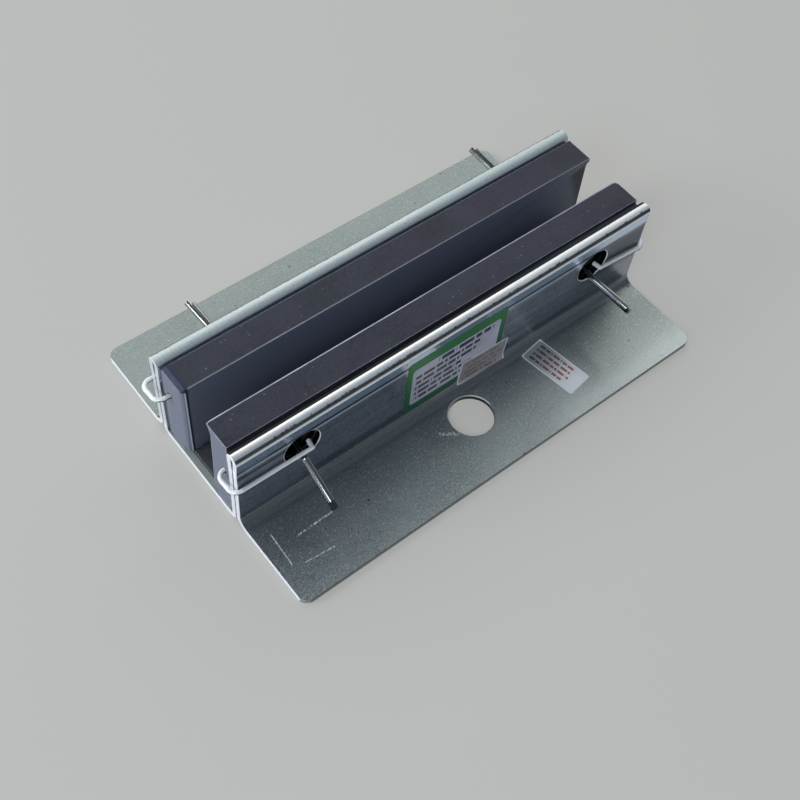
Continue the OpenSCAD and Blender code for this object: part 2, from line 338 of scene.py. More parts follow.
# %% Grain: fine and broad mottling
NOISE_RANGE = (0.3, 0.7)
BROAD_SCALE = 0.06
grain, given, result = start_group("grain", {"Size": 1.0, "Seed": 0.0}, ["Fine", "Broad"])
shifted = vector_calc(grain, "ADD", in_millimetres(grain), given["Seed"])
fine_scale = calc(grain, "DIVIDE", 1.0, given["Size"])
broad_scale = calc(grain, "MULTIPLY", fine_scale, BROAD_SCALE)
fine = noise(grain, shifted, fine_scale, detail=2.0, roughness=0.6)
broad = noise(grain, shifted, broad_scale, detail=4.0, roughness=0.6)
grain.links.new(ramp(grain, fine, *NOISE_RANGE), result["Fine"])
grain.links.new(ramp(grain, broad, *NOISE_RANGE), result["Broad"])
tell("grain", grain)

# %% Specks: scattered dots of dirt, dust or pitting
SPECK_INPUTS = {"Spacing": 3.0, "Size": 0.3, "Share": 0.3, "Seed": 0.0}
WOBBLE_SCALE, WOBBLE_REACH = 1.6, 0.6
SMALLEST_SPECK = 0.4
specks, given, result = start_group("specks", SPECK_INPUTS, ["Mask"])
place = in_millimetres(specks)
wobble = noise(specks, place, WOBBLE_SCALE, detail=2.0, output="Color")
wobble = vector_calc(specks, "SUBTRACT", wobble, (0.5, 0.5, 0.5))
wobble = vector_calc(specks, "MULTIPLY", wobble, [WOBBLE_REACH] * 3)
bent = vector_calc(specks, "ADD", wobble, place)
shifted = vector_calc(specks, "ADD", bent, given["Seed"])
cell_scale = calc(specks, "DIVIDE", 1.0, given["Spacing"])
cells = put(specks, "TexVoronoi", {"Vector": shifted, "Scale": cell_scale}).outputs
chance = put(specks, "SeparateColor", {0: cells["Color"]}).outputs
chosen = calc(specks, "LESS_THAN", chance[0], given["Share"])
size = spread(specks, chance[1], SMALLEST_SPECK, 1.0)
reach = product(specks, given["Size"], cell_scale, size)
dot = ramp(specks, calc(specks, "DIVIDE", cells["Distance"], reach), 0.5, 1.0, 1.0, 0.0)
specks.links.new(product(specks, chosen, dot), result["Mask"])
tell("specks", specks)

# %% Streaks: lines that the rolls left along the sheet
ALONG_THE_SHEET = (0.015, 1, 1)
BAND_SCALE = 0.25
streaks, given, result = start_group("streaks", {"Width": 0.5, "Seed": 0.0}, ["Fine", "Broad"])
shifted = vector_calc(streaks, "ADD", in_millimetres(streaks, ALONG_THE_SHEET), given["Seed"])
line_scale = calc(streaks, "DIVIDE", 1.0, given["Width"])
band_scale = calc(streaks, "MULTIPLY", line_scale, BAND_SCALE)
fine = noise(streaks, shifted, line_scale, detail=3.0, roughness=0.6)
broad = noise(streaks, shifted, band_scale, detail=2.0)
streaks.links.new(ramp(streaks, fine, *NOISE_RANGE), result["Fine"])
streaks.links.new(ramp(streaks, broad, *NOISE_RANGE), result["Broad"])
tell("streaks", streaks)

# %% Scratch: a thin broken line between two points
SCRATCH_INPUTS = {"From": (0.0, 0.0, 0.0), "To": (1.0, 0.0, 0.0), "Width": 0.3, "Gaps": 0.5}
GAP_SCALE = 1.9
scratch, given, result = start_group("scratch", SCRATCH_INPUTS, ["Mask"])
place = in_millimetres(scratch)
along = vector_calc(scratch, "SUBTRACT", given["To"], given["From"])
away = vector_calc(scratch, "SUBTRACT", place, given["From"])
done = vector_calc(scratch, "DOT_PRODUCT", away, along, "Value")
whole = vector_calc(scratch, "DOT_PRODUCT", along, along, "Value")
share = put(scratch, "Clamp", {"Value": calc(scratch, "DIVIDE", done, whole)}).outputs[0]
foot = put(scratch, "VectorMath", {0: along, "Scale": share}, operation="SCALE").outputs[0]
off = vector_calc(scratch, "DISTANCE", away, foot, "Value")
line = ramp(scratch, calc(scratch, "DIVIDE", off, given["Width"]), 0.3, 1.0, 1.0, 0.0)
broken = ramp(scratch, noise(scratch, place, GAP_SCALE, detail=2.0), 0.40, 0.60)
kept = between(scratch, given["Gaps"], 1.0, broken)
scratch.links.new(product(scratch, line, kept), result["Mask"])
tell("scratch", scratch)

# %% Worn edges: where the surface turns sharply within a short reach
WEAR_SCALE = 0.5
worn_edges, given, result = start_group("worn edges", {"Reach": 0.4, "Break Up": 0.5}, ["Mask"])
reach = calc(worn_edges, "MULTIPLY", given["Reach"], MM)
rounded = put(worn_edges, "Bevel", {"Radius": reach}, samples=6).outputs[0]
surface = put(worn_edges, "NewGeometry").outputs["True Normal"]
same = vector_calc(worn_edges, "DOT_PRODUCT", rounded, surface, "Value")
sharp = ramp(worn_edges, same, 0.98, 0.8)
patches = noise(worn_edges, in_millimetres(worn_edges), WEAR_SCALE, detail=4.0)
kept = between(worn_edges, given["Break Up"], 1.0, ramp(worn_edges, patches, 0.35, 0.6))
worn_edges.links.new(product(worn_edges, sharp, kept), result["Mask"])
tell("worn edges", worn_edges)

# %% [markdown]
# ## The finishes
# Each finish starts from a plain Principled shader. Colours are laid over each other by the masks
# above, as coats of paint would be. The fine grain also goes into the roughness and a bump, so that
# the surfaces break up the light as worn metal and plastic do.

# %% Helpers for a finish
def start_finish(name, **plain):
    """A material with one Principled shader; plain values go on the shader's own sockets."""
    finish = bpy.data.materials.new(name)
    finish.use_nodes = True
    tree = finish.node_tree
    tree.nodes.clear()
    shader = put(tree, "BsdfPrincipled", plain)
    put(tree, "OutputMaterial", {"Surface": shader.outputs[0]})
    return finish, tree, shader


def lay(tree, mask, color, under):
    """Lays a colour over what is under it, where the mask says so."""
    node = put(tree, "Mix", {"Factor": mask}, data_type="RGBA")
    for socket, value in (("A", under), ("B", color)):
        target = [s for s in node.inputs if s.name == socket and s.type == "RGBA"][0]
        if isinstance(value, bpy.types.NodeSocket):
            tree.links.new(value, target)
        else:
            target.default_value = (*value, 1)
    return [s for s in node.outputs if s.type == "RGBA"][0]


def lay_coats(tree, color, coats):
    """Lays coats one after another; each has its mask, its strength and its colour."""
    for mask, strength, coat in coats:
        color = lay(tree, product(tree, mask, strength), coat, color)
    return color


def bump(tree, shader, height, depth):
    """Raises the surface by a mask, depth in millimetres."""
    node = put(tree, "Bump", {"Height": height, "Distance": depth * MM, "Strength": 1.0})
    tree.links.new(node.outputs[0], shader.inputs["Normal"])


def dress(tree, shader, color, fine, roughness, depth):
    """Gives a shader its colour, and its roughness and bump from the fine grain."""
    tree.links.new(color, shader.inputs["Base Color"])
    tree.links.new(spread(tree, fine, *roughness), shader.inputs["Roughness"])
    bump(tree, shader, fine, depth)


# %% [markdown]
# ### Zinc-coated sheet
# The body is bent from steel sheet that was dipped in zinc. The flat zinc is a mottled grey with
# dark flecks and pits, the rolls have left lines along the walls, and the rolled top is burnished
# bright. Laid over that are painted glints, painted highlights on the cut ends, rims and lines,
# and painted shade and reflections in the bend, the holes and bands along the walls. One picture
# of such sheet would stretch at the bends, so the finish is laid in coats. Masks in millimetres on
# the body say where each part of the sheet is.

# %% Zinc-coated sheet: where its parts are
HALF_LENGTH, HALF_WIDTH, SHEET_TOP = 70.0, 47.0, 1.6

zinc, tree, shader = start_finish("zinc-coated sheet")
at = use_group(tree, place_group)
on_wall = product(tree, ramp(tree, at["Side"], 20.9, 19.6), ramp(tree, at["Z"], 3.0, 6.0))
on_roll = ramp(tree, at["Z"], 31.6, 32.2)
outside = ramp(tree, at["Side"], 18.1, 18.5)
cut_end = ramp(tree, at["End"], HALF_LENGTH - 0.25, HALF_LENGTH - 0.05)
cut_side = ramp(tree, at["Side"], HALF_WIDTH - 0.25, HALF_WIDTH - 0.05)
in_bend = product(tree, ramp(tree, at["Side"], 24.0, 20.5), ramp(tree, at["Z"], 6.0, 2.0))
# Painted light: the floor between the walls is paler near both ends.
painted_light_floor_end = product(tree, ramp(tree, at["End"], 63.0, 66.0), ramp(tree, at["Side"], 17.0, 16.0))
painted_light_floor_end = product(tree, painted_light_floor_end, ramp(tree, at["Z"], 2.4, 1.8))
rear = ramp(tree, at["Y"], -1.0, 1.0)
front = calc(tree, "SUBTRACT", 1.0, rear)
tell("sheet, its parts,", tree)

# %% Zinc-coated sheet: how far a point is from the holes
BOLT_HOLE_Y, BOLT_HOLE_RADIUS = 29.0, 6.5
WALL_HOLE_X, WALL_HOLE_Z, WALL_HOLE_RADIUS = 50.4, 21.4, 5.5
HOLE_EDGE = 0.12

from_bolt_hole = apart(tree, at["X"], calc(tree, "SUBTRACT", at["Side"], BOLT_HOLE_Y))
up_from_hole = calc(tree, "SUBTRACT", at["Z"], WALL_HOLE_Z)
from_wall_hole = apart(tree, calc(tree, "SUBTRACT", at["End"], WALL_HOLE_X), up_from_hole)
# Painted highlight: a pale ring on the cut face of each wall hole.
painted_highlight_wall_rim = band(tree, from_wall_hole, WALL_HOLE_RADIUS - 0.2, WALL_HOLE_RADIUS + 0.25, 0.1)
painted_highlight_wall_rim = product(tree, painted_highlight_wall_rim, ramp(tree, at["Side"], 18.65, 18.85))
in_wall = ramp(tree, from_wall_hole, WALL_HOLE_RADIUS + HOLE_EDGE, WALL_HOLE_RADIUS)
# Painted highlight: a pale rim on the lit side of the bolt hole.
painted_highlight_bolt_rim = band(tree, from_bolt_hole, BOLT_HOLE_RADIUS + 0.05, BOLT_HOLE_RADIUS + 0.35, 0.1)
inner_half = ramp(tree, at["Side"], BOLT_HOLE_Y + 1.0, BOLT_HOLE_Y - 1.0)
inner_arc = ramp(tree, at["Side"], BOLT_HOLE_Y - 1.5, BOLT_HOLE_Y - 3.5, 0.0, 0.6)
lit_side = product(tree, ramp(tree, at["X"], 1.5, 4.0), inner_half)
lit_side = calc(tree, "MAXIMUM", lit_side, inner_arc)
painted_highlight_bolt_rim = product(tree, painted_highlight_bolt_rim, lit_side, ramp(tree, at["Z"], 1.2, 1.4))
in_bolt = ramp(tree, from_bolt_hole, BOLT_HOLE_RADIUS + HOLE_EDGE, BOLT_HOLE_RADIUS)
in_bolt = product(tree, in_bolt, ramp(tree, at["Z"], 1.45, 1.3))
tell("sheet, with its holes,", tree)

# %% Zinc-coated sheet: colour of the flat sheet
mottle = use_group(tree, grain, Size=0.42)
clouds = use_group(tree, grain, Size=1.4, Seed=4.0)
pits = use_group(tree, specks, Spacing=3.6, Size=0.5, Share=0.3)
glints = use_group(tree, specks, Spacing=0.6, Size=0.3, Share=0.5, Seed=9.0)
flecks = use_group(tree, specks, Spacing=2.2, Size=0.42, Share=0.4, Seed=21.0)
# Painted shade: the front flange darkens towards the wall.
painted_shade_near_wall = product(tree, front, ramp(tree, at["Side"], 42.0, 29.0, 0.0, 0.40))
# Painted light: the front flange's outer edge is paler towards the right end.
painted_light_outer_right = product(tree, front, ramp(tree, at["Side"], 39.0, 45.0))
painted_light_outer_right = product(tree, painted_light_outer_right, ramp(tree, at["X"], 5.0, 30.0))
# Painted highlight: a paler line along the bend.
painted_highlight_foot_line = product(tree, in_bend, band(tree, at["Z"], 3.4, 4.3, 0.25))
color = lay(tree, clouds["Broad"], (0.39, 0.43, 0.41), (0.28, 0.315, 0.30))
color = lay_coats(tree, color, [
    (mottle["Fine"], 0.85, (0.58, 0.62, 0.585)),
    # Painted shade: the rear flange is darker than the front one.
    (rear, 0.6, (0.18, 0.225, 0.22)),
    (painted_shade_near_wall, 1.0, (0.15, 0.17, 0.17)),
    (painted_light_outer_right, 0.4, (0.74, 0.79, 0.77)),
    # Painted highlight: bright glint dots, fewer on the rear flange.
    (glints["Mask"], spread(tree, rear, 0.45, 0.2), (0.86, 0.89, 0.84)),
    (product(tree, flecks["Mask"], clouds["Fine"]), 0.8, (0.10, 0.12, 0.10)),
    # Painted shade: the bend between flange and wall is darker, with greenish patches.
    (in_bend, 0.75, (0.215, 0.222, 0.232)),
    (product(tree, in_bend, clouds["Fine"]), 0.2, (0.24, 0.32, 0.25)),
    (painted_highlight_foot_line, 0.9, (0.26, 0.28, 0.29)),
    (painted_light_floor_end, 0.8, (0.50, 0.55, 0.51)),
])
tell("sheet, with its flat zinc,", tree)

# %% Zinc-coated sheet: streaks, and painted light and shade along the walls
lines = use_group(tree, streaks, Width=0.6)
# Painted reflection: a pale blue band below the rolled top.
painted_sky_reflection = band(tree, at["Z"], 27.6, 30.8, 0.5)
# Painted highlight: a pale line along the wall, below the blue band.
painted_shoulder_highlight = band(tree, at["Z"], 25.3, 26.4, 0.25)
# Painted shade: a dark line between the pale line and the blue band, stopping short of the ends.
painted_crease_shade = product(tree, band(tree, at["Z"], 26.6, 27.45, 0.2), ramp(tree, at["End"], 62.0, 60.0))
dark_patch = product(tree, ramp(tree, at["X"], -44.0, -52.0), band(tree, at["Z"], 20.6, 24.6, 0.5))
foot_shade = product(tree, band(tree, at["Z"], 5.0, 8.0, 1.2), ramp(tree, at["End"], 56.0, 44.0))
# Painted shade: the walls darker towards the right end, below the bands, weaker low down.
painted_shade_right_wall = product(tree, ramp(tree, at["X"], 40.0, 58.0), ramp(tree, at["Z"], 29.0, 26.0))
painted_shade_right_wall = product(tree, painted_shade_right_wall, ramp(tree, at["Z"], 12.0, 17.0, 0.35, 1.0))
wall = lay(tree, lines["Broad"], (0.62, 0.64, 0.72), (0.40, 0.42, 0.47))
wall = lay_coats(tree, wall, [
    (lines["Fine"], 0.5, (0.62, 0.66, 0.74)),
    (mottle["Fine"], 0.35, (0.70, 0.72, 0.78)),
    (clouds["Fine"], 0.3, (0.20, 0.21, 0.24)),
    (painted_sky_reflection, 1.0, (0.70, 0.82, 1.0)),
    (painted_shoulder_highlight, 0.8, (0.74, 0.82, 0.94)),
    (painted_crease_shade, 0.9, (0.05, 0.07, 0.11)),
    (dark_patch, 0.65, (0.09, 0.10, 0.13)),
    (foot_shade, 0.55, (0.10, 0.11, 0.14)),
    (painted_shade_right_wall, 0.9, (0.07, 0.075, 0.10)),
])
color = lay(tree, on_wall, wall, color)
tell("sheet, with its walls,", tree)

# %% Zinc-coated sheet: the burnished roll, painted highlight and shade around it, and pits
roll_pits = use_group(tree, specks, Spacing=1.2, Size=1.0, Share=0.55, Seed=13.0)
# Painted highlight: a white line on the outside just below the roll.
painted_roll_highlight = product(tree, outside, band(tree, at["Z"], 30.95, 31.75, 0.15))
# Painted shade: the back of the front roll is near black.
painted_shade_roll_back = product(tree, on_roll, band(tree, at["Y"], -16.55, -14.0, 0.2))
# Painted shade: a dark band on the outside where the roll curls under.
painted_shade_under_roll = product(tree, outside, band(tree, at["Z"], 31.95, 32.75, 0.12))
near_grime = product(tree, outside, band(tree, at["Z"], 32.2, 33.0, 0.2), roll_pits["Mask"])
# Painted shade: the rear roll is greyer than the front one; the front roll is burnished bright.
burnished = lay(tree, rear, (0.78, 0.84, 0.82), (0.98, 0.99, 0.96))
burnished = lay(tree, product(tree, rear, mottle["Fine"], 0.45), (0.52, 0.58, 0.57), burnished)
color = lay_coats(tree, color, [
    (on_roll, 1.0, burnished),
    (painted_roll_highlight, 1.0, (0.95, 0.98, 1.0)),
    (painted_shade_roll_back, 1.0, (0.008, 0.008, 0.008)),
    (painted_shade_under_roll, 0.95, (0.03, 0.035, 0.035)),
    (near_grime, 0.9, (0.05, 0.05, 0.045)),
    (pits["Mask"], 0.85, (0.07, 0.08, 0.075)),
])
tell("sheet, with its roll,", tree)

# %% Zinc-coated sheet: scratches on the front flange
SCRATCHES = [
    ((-65.5, -26.0), (-66.0, -36.2), 0.24, 0.6),
    ((-60.3, -30.4), (-49.0, -30.1), 0.36, 1.0),
    ((-63.0, -37.7), (-53.9, -38.5), 0.25, 1.0),
    ((-10.9, -28.5), (-6.9, -31.3), 0.65, 1.0),
]
marks = 0.0
for start, end, width, gaps in SCRATCHES:
    ends = {"From": (*start, SHEET_TOP), "To": (*end, SHEET_TOP)}
    mark = use_group(tree, scratch, **ends, Width=width, Gaps=gaps)["Mask"]
    marks = calc(tree, "MAXIMUM", marks, mark)
color = lay(tree, product(tree, marks, 0.9), (0.95, 0.97, 0.93), color)
print("scratches:", len(SCRATCHES))

# %% Zinc-coated sheet: cut edges and holes
# Painted shade: the rear wall's cut end is greyer than the front one's.
painted_shade_rear_end = product(tree, cut_end, rear, ramp(tree, at["Z"], 3.0, 8.0))
color = lay_coats(tree, color, [
    # Painted highlight: the bare cut ends are near white.
    (cut_end, 0.95, (0.94, 0.95, 1.0)),
    (painted_shade_rear_end, 0.8, (0.58, 0.64, 0.64)),
    # Painted shade: the long cut edges of the flanges are dark.
    (cut_side, 0.85, (0.16, 0.17, 0.17)),
    # Painted shade: the inside faces of the holes are near black.
    (calc(tree, "MAXIMUM", in_bolt, in_wall), 0.95, (0.02, 0.02, 0.02)),
    (calc(tree, "MAXIMUM", painted_highlight_wall_rim, painted_highlight_bolt_rim), 1.0, (0.95, 0.96, 0.96)),
])
tree.links.new(color, shader.inputs["Base Color"])
tell("sheet, with its edges,", tree)

# %% Zinc-coated sheet: how dull, how metallic and how rough it is
dull = spread(tree, mottle["Fine"], 0.30, 0.44)
wall_dull = spread(tree, lines["Fine"], 0.12, 0.20)
wall_dull = calc(tree, "ADD", wall_dull, product(tree, ramp(tree, at["X"], 12.0, 24.0), 0.14))
dull = between(tree, on_wall, dull, wall_dull)
dull = calc(tree, "ADD", dull, product(tree, on_roll, spread(tree, rear, 0.30, 0.50)))
dull = calc(tree, "MAXIMUM", dull, product(tree, painted_shade_roll_back, 0.95))
tree.links.new(dull, shader.inputs["Roughness"])
CHALKY = [
    (painted_roll_highlight, 1.0), (cut_end, 0.9), (painted_shade_roll_back, 1.0), (painted_highlight_foot_line, 0.85), (painted_light_floor_end, 0.6),
    (marks, 0.8), (painted_highlight_wall_rim, 0.9), (painted_highlight_bolt_rim, 0.8), (product(tree, painted_shoulder_highlight, on_wall), 0.45),
    (product(tree, painted_sky_reflection, on_wall), 0.1), (painted_shade_under_roll, 0.6), (on_wall, 0.06),
]
chalky = 0.0
for mask, share in CHALKY:
    chalky = calc(tree, "MAXIMUM", chalky, product(tree, mask, share))
tree.links.new(calc(tree, "SUBTRACT", 1.0, chalky), shader.inputs["Metallic"])
height = calc(tree, "ADD", product(tree, mottle["Fine"], 0.5), product(tree, glints["Mask"], 0.4))
height = product(tree, height, spread(tree, on_wall, 1.0, 0.04))
height = calc(tree, "SUBTRACT", height, product(tree, pits["Mask"], 0.6))
bump(tree, shader, height, 0.02)
tell("zinc-coated sheet", tree)

# %% [markdown]
# ### Liner plastic
# The liners are bars of dark blue-grey moulded plastic. Their tops are hazy and carry dust, the
# edges are worn, and the sawn ends are light. The faces that run on the rail are painted paler as
# painted light, painted highlights run along the top of the slot and a sawn edge, the corner
# chamfer gets a painted blue sheen, and the rear liner's lead-in is painted dark as painted shade.
# A plain dark plastic would look new, so the haze, dust and wear come from the shared groups, and
# masks in millimetres place the painted light and shade and the sawn ends.

# %% Liner plastic: where its parts are
LINER_END = 69.3
plastic, tree, shader = start_finish("liner plastic", **{"Specular IOR Level": 0.3})
at = use_group(tree, place_group)
haze = use_group(tree, grain, Size=0.9, Seed=7.0)
tint = use_group(tree, grain, Size=0.7, Seed=19.0)
dust = use_group(tree, specks, Spacing=1.2, Size=0.34, Share=0.32, Seed=3.0)
edges = use_group(tree, worn_edges, Reach=0.4, Break_Up=0.35)
# Painted light: the faces that run on the rail are paler.
painted_light_running_face = product(tree, ramp(tree, at["Side"], 5.75, 5.45), ramp(tree, at["Z"], 32.2, 31.9))
# Painted highlight: a pale line along the top of the slot, fainter on the rear liner.
painted_highlight_slot_edge = product(tree, band(tree, at["Side"], 5.2, 5.62, 0.06), ramp(tree, at["Z"], 31.95, 32.15))
painted_highlight_slot_edge = product(tree, painted_highlight_slot_edge, spread(tree, tint["Broad"], 0.5, 1.0))
painted_highlight_slot_edge = product(tree, painted_highlight_slot_edge, ramp(tree, at["X"], -40.0, 40.0, 1.0, 0.55))
painted_highlight_slot_edge = product(tree, painted_highlight_slot_edge, ramp(tree, at["Y"], -1.0, 1.0, 1.0, 0.35))
on_rear = ramp(tree, at["Y"], 4.0, 5.0)
# Painted shade: the rear liner's lead-in is near black.
painted_shade_lead_in = product(tree, ramp(tree, at["X"], -67.2, -67.8), on_rear, ramp(tree, at["Y"], 7.4, 7.0))
# Painted sheen: the small chamfer at the rear liner's left end is tinted blue.
chamfer = product(tree, ramp(tree, at["X"], -66.9, -67.3), ramp(tree, at["Z"], 29.6, 30.2))
chamfer = product(tree, chamfer, ramp(tree, at["Y"], 5.0, 6.0))
below_chamfer = product(tree, on_rear, ramp(tree, at["Z"], 31.1, 30.8))
sawn = ramp(tree, at["End"], LINER_END - 0.25, LINER_END - 0.05)
sawn_lead = product(tree, below_chamfer, ramp(tree, at["X"], -68.1, -68.3))
sawn = calc(tree, "MAXIMUM", sawn, sawn_lead)
# Painted highlight: a pale line where the rear liner's sawn end meets its lead-in.
painted_highlight_sawn_edge = product(tree, below_chamfer, band(tree, at["X"], -68.4, -68.1, 0.08))
end_rim = ramp(tree, at["End"], LINER_END - 0.5, LINER_END - 0.3)
end_rim = product(tree, edges["Mask"], end_rim)
tell("liner plastic, its parts,", tree)

# %% Liner plastic: its coats
color = lay(tree, haze["Broad"], (0.036, 0.040, 0.053), (0.017, 0.019, 0.026))
color = lay_coats(tree, color, [
    (tint["Broad"], 0.6, (0.032, 0.025, 0.055)),
    (haze["Fine"], 0.5, (0.050, 0.054, 0.072)),
    (painted_light_running_face, 0.9, (0.160, 0.172, 0.225)),
    (product(tree, dust["Mask"], haze["Broad"]), 0.6, (0.22, 0.24, 0.26)),
    (edges["Mask"], 0.85, (0.48, 0.51, 0.58)),
    (painted_highlight_slot_edge, 1.0, (0.66, 0.70, 0.76)),
    (painted_shade_lead_in, 1.0, (0.004, 0.008, 0.024)),
    (chamfer, 0.8, (0.022, 0.030, 0.072)),
    (sawn, 0.9, (0.19, 0.21, 0.28)),
    (painted_highlight_sawn_edge, 0.8, (0.62, 0.66, 0.75)),
    (end_rim, 0.9, (0.78, 0.82, 0.90)),
])
dress(tree, shader, color, haze["Fine"], roughness=(0.42, 0.58), depth=0.02)
tell("liner plastic", tree)

# %% [markdown]
# ### Nose plastic
# Only the dark end of the strip at the bottom of the slot shows in the photograph. It is taken to
# be plastic like the liners, with dust that has fallen on it. So it gets a haze and larger specks,
# and no worn edges.

# %% Nose plastic
nose, tree, shader = start_finish("nose plastic")
haze = use_group(tree, grain, Size=1.2, Seed=11.0)
dust = use_group(tree, specks, Spacing=1.8, Size=0.4, Share=0.35, Seed=5.0)
color = lay(tree, haze["Broad"], (0.034, 0.036, 0.040), (0.020, 0.021, 0.025))
color = lay(tree, product(tree, dust["Mask"], 0.5), (0.14, 0.15, 0.15), color)
dress(tree, shader, color, haze["Fine"], roughness=(0.38, 0.55), depth=0.02)
tell("nose plastic", tree)

# %% [markdown]
# ### Cushion rubber
# A black rubber band lies between each wall and its liner, and only its top edge shows. Clean
# rubber is nearly black. The rear band and the right end of both are made paler: dust, and painted
# light in the narrow gap where shade falls. It is laid over the black by the place on the object.

# %% Cushion rubber
rubber, tree, shader = start_finish("cushion rubber")
haze = use_group(tree, grain, Size=0.6, Seed=17.0)
at = use_group(tree, place_group)
# Dust and painted light: the rear band and the right end are paler.
dust_and_painted_light_rear = product(tree, ramp(tree, at["Y"], -1.0, 1.0), spread(tree, haze["Fine"], 0.6, 1.0))
dust_and_painted_light_right = ramp(tree, at["X"], 0.0, 50.0, 0.0, 0.8)
color = lay(tree, haze["Broad"], (0.016, 0.016, 0.017), (0.008, 0.008, 0.009))
color = lay(tree, dust_and_painted_light_rear, (0.18, 0.20, 0.23), color)
color = lay(tree, dust_and_painted_light_right, (0.09, 0.095, 0.115), color)
dress(tree, shader, color, haze["Fine"], roughness=(0.65, 0.85), depth=0.03)
tell("cushion rubber", tree)

# %% [markdown]
# ### Spring wire
# The clips are bent from bright drawn wire. Pure metal on so thin a wire would mirror mostly the
# dim room, so the wire is mostly a pale coat with a little metal in it, a painted sheen in place of
# its reflection. The lower side of the straight legs is painted dark as painted shade. The
# direction that the surface faces says where that side is, so the painted shade stays on it from
# every view.

# %% Spring wire
def facing(tree, normal):
    """How far the surface faces along each axis."""
    return put(tree, "SeparateXYZ", {0: put(tree, "NewGeometry").outputs[normal]}).outputs


wire, tree, shader = start_finish("spring wire", **{"Metallic": 0.1})
drawn = use_group(tree, grain, Size=0.5, Seed=23.0)
faces = facing(tree, "Normal")
# Painted shade: the lower side of the legs is dark.
under = ramp(tree, calc(tree, "ABSOLUTE", faces["Y"]), 0.5, 0.8)
under = product(tree, under, ramp(tree, faces["Z"], 0.5, 0.15))
# Painted sheen: the pale coat stands in for the wire's reflection.
color = lay(tree, drawn["Broad"], (1.0, 1.0, 0.97), (0.95, 0.95, 0.93))
color = lay(tree, under, (0.05, 0.05, 0.055), color)
dress(tree, shader, color, drawn["Fine"], roughness=(0.18, 0.26), depth=0.0005)
tell("spring wire", tree)

# %% [markdown]
# ### Pin steel
# A split pin is a half-round wire bent double, so each of its two legs has a flat side. The steel
# is bare, and the flat sides are painted dark as painted shade. They are found by the direction
# that they face, which needs no second material and leaves the legs in one piece.

# %% Pin steel
steel, tree, shader = start_finish("pin steel", **{"Metallic": 1.0})
drawn = use_group(tree, grain, Size=0.5, Seed=29.0)
faces = facing(tree, "True Normal")
# Painted shade: the flat sides of the legs are dark.
painted_shade_flat_side = ramp(tree, calc(tree, "ABSOLUTE", faces["X"]), 0.18, 0.08)
painted_shade_flat_side = product(tree, painted_shade_flat_side, ramp(tree, faces["Z"], 0.80, 0.86))
color = lay(tree, drawn["Broad"], (0.48, 0.48, 0.47), (0.36, 0.36, 0.36))
color = lay(tree, product(tree, painted_shade_flat_side, 0.7), (0.02, 0.02, 0.02), color)
dress(tree, shader, color, drawn["Fine"], roughness=(0.16, 0.24), depth=0.0005)
tell("pin steel", tree)

# %% Give each piece its finish
FINISHES = {
    "shoe_body": zinc, "nose_liner": nose, "liner": plastic, "cushion": rubber, "clip": wire,
    "pin": steel,
}
for name in nodes:
    for shown in (nodes[name], pieces[name]):
        shown.data.materials.clear()
        shown.data.materials.append(of_kind(FINISHES, name))
print("finishes given to", len(nodes), "solids")

# %% [markdown]
# ## The labels
# Three thin films stick to the sheet: a green-bordered one and a small clear one on the front wall,
# and a pale one on the front flange. A film could be painted on the sheet by its material, but its
# edge catches the light, so each is a plane with rounded corners that is shrunk onto the sheet and
# given a thickness. The print is plain bars from a node group, in the film's own flat coordinates.

# %% A helper that lays a film on the sheet
FILM_THICKNESS = 0.07
FILM_CUTS, CORNER_STEPS = 19, 4
NEARLY_HALF = 0.499
FILM_SMOOTH_ANGLE = radians(40)


def film(name, width, height, corner, place, turn, lift):
    """A rounded plane at its place and turn, shrunk onto the sheet and given a thickness."""
    bpy.ops.object.select_all(action="DESELECT")
    bpy.ops.mesh.primitive_plane_add(size=1)
    piece = bpy.context.object
    piece.name = name
    piece.scale = (width * MM, height * MM, 1)
    bpy.ops.object.transform_apply(location=False, rotation=False, scale=True)
    bpy.ops.object.mode_set(mode="EDIT")
    bpy.ops.mesh.subdivide(number_cuts=FILM_CUTS)
    bpy.ops.mesh.select_all(action="DESELECT")
    bpy.ops.object.mode_set(mode="OBJECT")
    far_x, far_y = NEARLY_HALF * width * MM, NEARLY_HALF * height * MM
    for vertex in piece.data.vertices:
        vertex.select = abs(vertex.co.x) > far_x and abs(vertex.co.y) > far_y
    bpy.ops.object.mode_set(mode="EDIT")
    bpy.ops.mesh.select_mode(type="VERT")
    bpy.ops.mesh.bevel(offset=corner * MM, segments=CORNER_STEPS, affect="VERTICES")
    bpy.ops.object.mode_set(mode="OBJECT")
    piece.location = Vector(place) * MM
    piece.rotation_euler = turn
    bpy.ops.object.transform_apply(location=True, rotation=True, scale=True)
    cling = piece.modifiers.new("cling", "SHRINKWRAP")
    cling.target = pieces["shoe_body"]
    cling.wrap_mode = "ABOVE_SURFACE"
    cling.offset = lift * MM
    bpy.ops.object.modifier_apply(modifier=cling.name)
    body = piece.modifiers.new("thickness", "SOLIDIFY")
    body.thickness = FILM_THICKNESS * MM
    body.offset = 1
    bpy.ops.object.modifier_apply(modifier=body.name)
    bpy.ops.object.shade_smooth_by_angle(angle=FILM_SMOOTH_ANGLE)
    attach(piece, "root")
    print(name, len(piece.data.polygons), "faces")
    return piece


